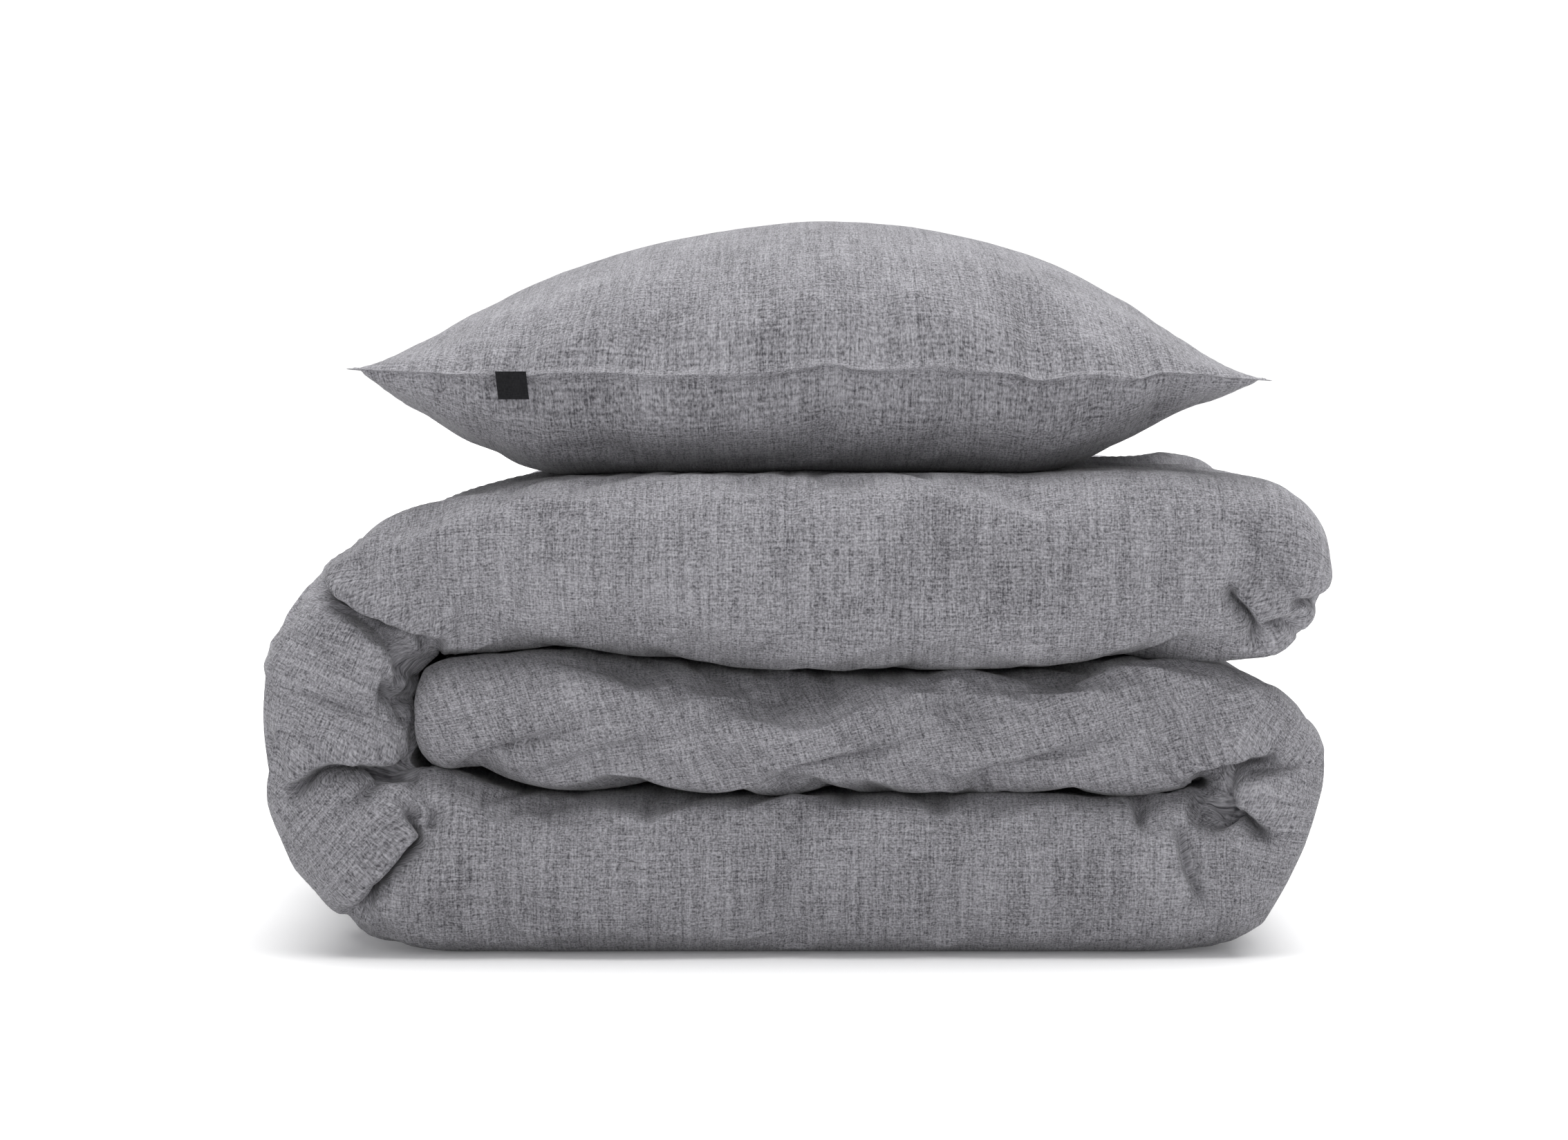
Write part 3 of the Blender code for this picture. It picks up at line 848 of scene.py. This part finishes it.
# place along the pillow and how far the seam rises or dips there
SEAM_WAVE = [
    (-1.00, 0.002),
    (-0.65, -0.003),
    (-0.45, -0.001),
    (-0.30, -0.003),
    (-0.13, -0.001),
    (0.03, 0.003),
    (0.16, 0.001),
    (0.28, 0.002),
    (0.41, -0.001),
    (0.50, -0.005),
    (0.60, -0.003),
    (0.70, -0.005),
    (0.79, -0.002),
    (1.00, -0.007),
]

# %% Pillowcase surfaces
across_u = np.linspace(-1, 1, CELLS[0] + 1)
across_v = np.linspace(-1, 1, CELLS[1] + 1)
U, V = (grid.ravel() for grid in np.meshgrid(across_u, across_v, indexing="ij"))
profile = through(PROFILE, 8)
wave = through(SEAM_WAVE, 8)
plan_x = PILLOW_MIDDLE[0] + SPAN[0] / 2 * U * (1 - 0.085 * (1 - V**2))
plan_y = PILLOW_MIDDLE[1] + SPAN[1] / 2 * V * (1 - 0.050 * (1 - U**2))
lengthwise = (plan_x - PILLOW_MIDDLE[0]) / (SPAN[0] / 2)
top_share = np.interp(lengthwise, profile[:, 0], profile[:, 1])
drop_share = np.interp(lengthwise, profile[:, 0], profile[:, 2])
depth_share = np.clip(1 - np.abs(V) ** 3.4, 0, 1) ** 0.8
to_edge = np.minimum((1 - np.abs(U)) * PANEL[0], (1 - np.abs(V)) * PANEL[1]) / 2
past_lip = soft_step(to_edge, LIP * 0.8, LIP * 2.2)
lip_room = 0.0014 * soft_step(to_edge, 0, LIP * 0.5)
seam = SEAM_Z + np.interp(U, wave[:, 0], wave[:, 1]) * np.abs(V) ** 1.5
top_z = seam + CROWN * top_share * depth_share * past_lip + lip_room
belly_z = seam - BELLY * drop_share * np.clip(1 - V**6, 0, 1) ** 0.75 * past_lip - lip_room


# %% Pillowcase mesh
def sewn_panels(name):
    """Two grids of quads that share their rim, each with UVs as it lies flat, in metres."""
    columns = CELLS[1] + 1
    index = np.arange(len(U)).reshape(CELLS[0] + 1, columns)
    inside = (np.abs(U) < 1 - 1e-9) & (np.abs(V) < 1 - 1e-9)
    below = index.ravel().copy()
    below[inside] = len(U) + np.arange(inside.sum())
    below = below.reshape(index.shape)

    def quads(of):
        return np.stack([of[:-1, :-1], of[1:, :-1], of[1:, 1:], of[:-1, 1:]], -1).reshape(-1, 4)

    upper = np.column_stack([plan_x, plan_y, top_z])
    lower = np.column_stack([plan_x, plan_y, belly_z])[inside]
    flat = np.column_stack([U * PANEL[0] / 2, V * PANEL[1] / 2, np.full(len(U), SEAM_Z)])
    flat_up = flat + (0, 0, 0.0006)
    rest = np.vstack([flat_up, (flat - (0, 0, 0.0006))[inside]])
    rest[:, :2] += PILLOW_MIDDLE
    faces = np.vstack([quads(index), quads(below)[:, ::-1]])
    mesh = bpy.data.meshes.new(name)
    mesh.from_pydata(np.vstack([upper, lower]).tolist(), [], faces.tolist())
    uv = np.vstack([flat[:, :2], flat[inside][:, :2]])
    corner = corners_of(mesh)
    on_lower = np.where(np.arange(len(corner)) < len(corner) // 2, 0, 1)
    write_uvs(mesh.uv_layers.new(name="cloth"), uv[corner] + on_lower[:, None] * (0, 0.9))
    mesh.update()
    obj = bpy.data.objects.new(name, mesh)
    bpy.context.scene.collection.objects.link(obj)
    return obj, rest, inside


pillowcase, flat_panels, inner_points = sewn_panels("pillowcase")
print("pillowcase", len(pillowcase.data.vertices), "points")

# %% [markdown]
# ## Filling the pillow
#
# The same pressure as for the duvet fills the pillowcase. Its flat underside is held, because it
# rests on the duvet, and its pointed corners nearly so, because no filling reaches into them. Spare
# cloth is given only near the seams, so the crown stays smooth.

# %% Settle the pillow
shaped = points_of(pillowcase.data)
is_below = np.arange(len(shaped)) >= len(U)
point_edge = np.concatenate([to_edge, to_edge[inner_points]])
point_u = np.concatenate([U, U[inner_points]])
resting = is_below & (shaped[:, 2] < SEAM_Z - BELLY + 0.004)
hold = np.where(point_edge < 0.001, 0.4, 0.15)
hold = np.maximum(hold, 0.9 * soft_step(np.abs(point_u), 0.80, 0.96))
hold[resting] = 1
slack = 0.001 + 0.035 * (1 - soft_step(point_edge, 0.02, 0.09))
settle(
    pillowcase, hold, slack, frames=20, pressure=2.0, bending=0.05, cap=0.014, rest=flat_panels
)

# %% [markdown]
# ## The seam, and resting on the duvet
#
# The seam allowance inside the case makes the rim stand out as a thin lip. The mesh is made finer
# along the rim, and a shallow groove is pressed in beside the lip. Last, the underside is laid on
# the settled duvet: a ray is sent down at each low point, and the point is lifted where it would
# sink in.

# %% Seam of the pillowcase
for name, values in (("to_edge", point_edge), ("is_below", is_below)):
    keep_values(pillowcase.data, name, values)
make_finer(pillowcase)
split_edges(pillowcase, kept_values(pillowcase.data, "to_edge", 1) < 0.017)


def press_seam(obj):
    """A groove inside the rim leaves the seam's lip standing out, more so on the lower panel."""
    edge = kept_values(obj.data, "to_edge", 1)
    lower = kept_values(obj.data, "is_below", 1)
    groove = np.exp(-(((edge - LIP) / 0.0032) ** 2)) * (0.0012 + 0.0020 * lower)
    points = points_of(obj.data) - normals_of(obj.data) * groove[:, None]
    move_points(obj.data, points)
    for name in ("to_edge", "is_below"):
        obj.data.attributes.remove(obj.data.attributes[name])


press_seam(pillowcase)


# %% Rest the pillow on the duvet
def rest_upon(obj, support, below_z, gap):
    """Lifts the lowest points of an object until they just clear another object."""
    tree = BVHTree.FromObject(support, bpy.context.evaluated_depsgraph_get())
    points = points_of(obj.data)
    lifted = 0
    for i in np.nonzero(points[:, 2] < below_z)[0]:
        hit, *_ = tree.ray_cast(Vector((*points[i, :2], below_z + 0.2)), Vector((0, 0, -1)))
        if hit is not None and points[i, 2] < hit.z + gap:
            points[i, 2] = hit.z + gap
            lifted += 1
    move_points(obj.data, points)
    print(lifted, "points lifted")


rest_upon(pillowcase, duvet, 0.385, 0.0006)
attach(pillowcase, "pillow")
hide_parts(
    "pillowcase_upper_panel",
    "pillowcase_lower_panel",
    "pillowcase_tuck_flap",
    "pillow_upper_ticking",
    "pillow_lower_ticking",
    "pillow_filling",
)

# %% [markdown]
# ## The label
#
# A woven tape folded in two hangs from the pillow's front seam. It is swept from its side outline:
# down the front, round the fold and up the back, with the tape's own thickness.

# %% Label
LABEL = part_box("pillow_label")
TAPE = 0.0004
label_low, label_high = np.array(LABEL[0]), np.array(LABEL[1])
label_middle_y = (label_low[1] + label_high[1]) / 2
half_fold = (label_high[1] - label_low[1]) / 2


def tape_outline(half):
    """From the top, down the front, round the fold, and up the back."""
    turn = np.linspace(math.pi, 2 * math.pi, 9)
    fold = np.column_stack([half * np.cos(turn), half * np.sin(turn)])
    fold = fold + (0, label_low[2] + half_fold)
    top, middle = label_high[2], (label_high[2] + label_low[2]) / 2
    return np.vstack([(-half, top), (-half, middle), fold, (half, middle), (half, top)])


outer = tape_outline(half_fold)
inner = tape_outline(half_fold - TAPE)[::-1]
inner[[0, -1], 1] = label_high[2]
section = np.vstack([outer, inner])
columns = np.linspace(label_low[0], label_high[0], 13)
rows = []
for x in columns:
    lean = 0.06 * (x - label_low[0])
    bow = 0.0006 * math.cos((x - columns.mean()) / 0.011 * math.pi / 2)
    drop = (label_high[2] - section[:, 1]) / (label_high[2] - label_low[2])
    rows.append(
        np.column_stack([
            np.full(len(section), x) + 0.0022 * drop,
            label_middle_y + section[:, 0] - bow * drop,
            label_high[2] + (section[:, 1] - label_high[2]) * (1 - lean * 3),
        ])
    )
around = lengths_along(section)
label = lofted("label", np.array(rows), columns - columns[0], around)
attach(label, "label")
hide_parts("pillow_label")
print("label", len(label.data.polygons), "faces")

# %% [markdown]
# ## Melange cotton
#
# Melange cloth is woven from yarns of uneven colour and thickness. Up close it is a fine grain with
# short streaks along the warp and the weft. Each kind of streak is a noise stretched along one UV
# axis. They are summed in a node group that gives back a colour and a height, so that the duvet,
# the pillowcase and the hem can share it.


# %% Node helpers
def add_node(tree, kind, inputs=None, **settings):
    node = tree.nodes.new(kind)
    for name, value in settings.items():
        setattr(node, name, value)
    for name, value in (inputs or {}).items():
        if isinstance(value, bpy.types.NodeSocket):
            tree.links.new(value, node.inputs[name])
        else:
            node.inputs[name].default_value = value
    return node


def stretched_noise(tree, vector, size_u, size_v, detail, seed):
    """Noise with grains of size_u by size_v metres."""
    placed = add_node(
        tree, "ShaderNodeMapping",
        {"Vector": vector, "Scale": (1 / size_u, 1 / size_v, 1), "Location": (seed, seed * 0.7, 0)},
    )
    noise = add_node(
        tree, "ShaderNodeTexNoise",
        {"Vector": placed.outputs["Vector"], "Scale": 1.0, "Detail": detail, "Roughness": 0.6},
        noise_dimensions="2D",
    )
    return noise.outputs["Factor" if "Factor" in noise.outputs else "Fac"]


def blend(tree, share, low, high):
    """A colour between two others. Inputs 6 and 7 of the node are its colours, output 2 the mix."""
    colors = {"Factor": share, 6: low, 7: high}
    return add_node(tree, "ShaderNodeMix", colors, data_type="RGBA").outputs[2]


def calc(tree, operation, a, b=None, c=None, clamp=False):
    inputs = {0: a}
    if b is not None:
        inputs[1] = b
    if c is not None:
        inputs[2] = c
    return add_node(tree, "ShaderNodeMath", inputs, operation=operation, use_clamp=clamp).outputs[0]


# %% Melange group
def melange_group():
    tree = bpy.data.node_groups.new("melange_weave", "ShaderNodeTree")
    tree.interface.new_socket("Vector", in_out="INPUT", socket_type="NodeSocketVector")
    dark = tree.interface.new_socket("Dark yarn", in_out="INPUT", socket_type="NodeSocketColor")
    pale = tree.interface.new_socket("Pale yarn", in_out="INPUT", socket_type="NodeSocketColor")
    dark.default_value = (0.064, 0.062, 0.070, 1)
    pale.default_value = (0.392, 0.387, 0.414, 1)
    tree.interface.new_socket("Color", in_out="OUTPUT", socket_type="NodeSocketColor")
    tree.interface.new_socket("Height", in_out="OUTPUT", socket_type="NodeSocketFloat")
    given = add_node(tree, "NodeGroupInput").outputs
    vector = given["Vector"]
    parts = [
        (stretched_noise(tree, vector, 0.0017, 0.0014, 2, 1.9), 1.15),
        (stretched_noise(tree, vector, 0.0011, 0.0085, 2, 3.1), 0.75),
        (stretched_noise(tree, vector, 0.0075, 0.0011, 2, 5.3), 0.70),
        (stretched_noise(tree, vector, 0.0035, 0.0800, 1, 8.7), 0.40),
        (stretched_noise(tree, vector, 0.0650, 0.0018, 1, 7.2), 0.35),
        (stretched_noise(tree, vector, 0.0550, 0.0700, 2, 6.4), 0.28),
    ]
    total = None
    for value, strength in parts:
        centred = calc(tree, "SUBTRACT", value, 0.5)
        total = calc(tree, "MULTIPLY_ADD", centred, strength, 0.5 if total is None else total)
    share = calc(tree, "MULTIPLY_ADD", calc(tree, "SUBTRACT", total, 0.5), 1.20, 0.5, clamp=True)
    color = blend(tree, share, given["Dark yarn"], given["Pale yarn"])
    result = add_node(tree, "NodeGroupOutput")
    tree.links.new(color, result.inputs["Color"])
    tree.links.new(total, result.inputs["Height"])
    return tree


def painted(name, color, roughness, **more):
    material = bpy.data.materials.new(name)
    material.use_nodes = True
    shader = material.node_tree.nodes["Principled BSDF"]
    shader.inputs["Base Color"].default_value = (*color, 1)
    shader.inputs["Roughness"].default_value = roughness
    for socket, value in more.items():
        shader.inputs[socket.replace("_", " ")].default_value = value
    return material


def melange_cloth(name, kind, output, **settings):
    """A material that shows the weave, placed by the output of a UV Map or Texture Coordinate."""
    material = painted(name, (0.27, 0.27, 0.285), 0.92, Sheen_Weight=0.12, Specular_IOR_Level=0.25)
    tree = material.node_tree
    shader = tree.nodes["Principled BSDF"]
    place = add_node(tree, kind, **settings).outputs[output]
    weave = add_node(tree, "ShaderNodeGroup", node_tree=weave_group)
    tree.links.new(place, weave.inputs["Vector"])
    tree.links.new(weave.outputs["Color"], shader.inputs["Base Color"])
    bump = add_node(
        tree, "ShaderNodeBump",
        {"Height": weave.outputs["Height"], "Strength": 0.35, "Distance": 0.0006},
    )
    tree.links.new(bump.outputs["Normal"], shader.inputs["Normal"])
    return material


weave_group = melange_group()
melange = melange_cloth("melange_cotton_cloth", "ShaderNodeUVMap", "UV", uv_map="cloth")
for piece in (duvet, pillowcase):
    piece.data.materials.append(melange)

# %% [markdown]
# ## Tape, hem and buttons
#
# The label's tape has a fine rib across it. The hem of the duvet's opening and its buttons keep
# their plain model's shape, because they are tucked out of sight, but they still get their own
# finishes. The hem has no UVs, so its weave is placed by the object's own coordinates. The resin of
# the buttons is cloudy, with a slightly uneven polish.

# %% Tape
tape = painted("woven_tape", (0.008, 0.008, 0.009), 0.95, Specular_IOR_Level=0.2)
tree = tape.node_tree
at = add_node(tree, "ShaderNodeUVMap", uv_map="cloth").outputs["UV"]
across_ribs = stretched_noise(tree, at, 0.0060, 0.0004, 1, 2.2)
along_yarns = stretched_noise(tree, at, 0.0005, 0.0030, 1, 4.4)
rib = calc(tree, "ADD", across_ribs, along_yarns)
rib_share = calc(tree, "MULTIPLY_ADD", rib, 1.2, -0.7, clamp=True)
yarns = blend(tree, rib_share, (0.005, 0.005, 0.006, 1), (0.020, 0.020, 0.022, 1))
ridges = add_node(tree, "ShaderNodeBump", {"Height": rib, "Strength": 0.5, "Distance": 0.0003})
tree.links.new(yarns, tree.nodes["Principled BSDF"].inputs["Base Color"])
tree.links.new(ridges.outputs["Normal"], tree.nodes["Principled BSDF"].inputs["Normal"])
label.data.materials.append(tape)

# %% Buttons
resin = painted("clouded_resin", (0.035, 0.035, 0.040), 0.45)
tree = resin.node_tree
at = add_node(tree, "ShaderNodeTexCoord").outputs["Object"]
cloud = stretched_noise(tree, at, 0.004, 0.004, 3, 0.6)
tone = blend(tree, cloud, (0.022, 0.022, 0.026, 1), (0.050, 0.050, 0.056, 1))
polish = calc(tree, "MULTIPLY_ADD", cloud, 0.25, 0.32)
tree.links.new(tone, tree.nodes["Principled BSDF"].inputs["Base Color"])
tree.links.new(polish, tree.nodes["Principled BSDF"].inputs["Roughness"])

# %% Hem
hem_cloth = melange_cloth("melange_hem_cloth", "ShaderNodeTexCoord", "Object")
for name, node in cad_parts.items():
    if name.startswith("cover_button"):
        node.data.materials.clear()
        node.data.materials.append(hem_cloth if name == "cover_button_hem" else resin)
print("materials", [material.name for material in bpy.data.materials])

# %% [markdown]
# ## Light and floor
#
# The set stands in a white studio. A broad soft light from above keeps the floor white and the top
# of the pillow brightest. A weaker one from the front and the white surroundings fill the shadows.
# The floor has to look white and yet not light the cloth from below too strongly. So the camera
# sees it paler than the bedding does, with a trace of light of its own.

# %% Surroundings
world = bpy.data.worlds.new("studio")
bpy.context.scene.world = world
world.use_nodes = True
sky = world.node_tree
backdrop = sky.nodes["Background"]
backdrop.inputs["Color"].default_value = (1, 1, 1, 1)
rays = add_node(sky, "ShaderNodeLightPath")
FILL = 0.40  # what lights the bedding
BACKGROUND = 1.05  # what the camera sees
seen_more = BACKGROUND - FILL
strength = calc(sky, "MULTIPLY_ADD", rays.outputs["Is Camera Ray"], seen_more, FILL)
sky.links.new(strength, backdrop.inputs["Strength"])

# %% Floor
bpy.ops.mesh.primitive_plane_add(size=60, location=(0, 20, 0))
floor = bpy.context.object
floor.name = "floor"
paper = painted("white_floor", (0.95, 0.95, 0.95), 1.0)
tree = paper.node_tree
lit = tree.nodes["Principled BSDF"]
seen = add_node(tree, "ShaderNodeLightPath").outputs["Is Camera Ray"]
shade = blend(tree, seen, (0.82, 0.82, 0.82, 1), (0.95, 0.95, 0.95, 1))
glow = blend(tree, seen, (0, 0, 0, 1), (0.10, 0.10, 0.104, 1))
tree.links.new(shade, lit.inputs["Base Color"])
tree.links.new(glow, lit.inputs["Emission Color"])
lit.inputs["Emission Strength"].default_value = 1
floor.data.materials.append(paper)


# %% Lights
def soft_sun(name, energy, spread, tilt, roll):
    """A sun as broad as spread degrees. At no tilt it shines straight down."""
    data = bpy.data.lights.new(name, "SUN")
    data.energy = energy
    data.angle = math.radians(spread)
    light = bpy.data.objects.new(name, data)
    light.rotation_euler = (math.radians(tilt), math.radians(roll), 0)
    bpy.context.scene.collection.objects.link(light)


soft_sun("overhead", 3.9, 75, -15, 5)
soft_sun("front_fill", 0.85, 40, 80, 0)
bpy.context.scene.view_settings.view_transform = "Standard"
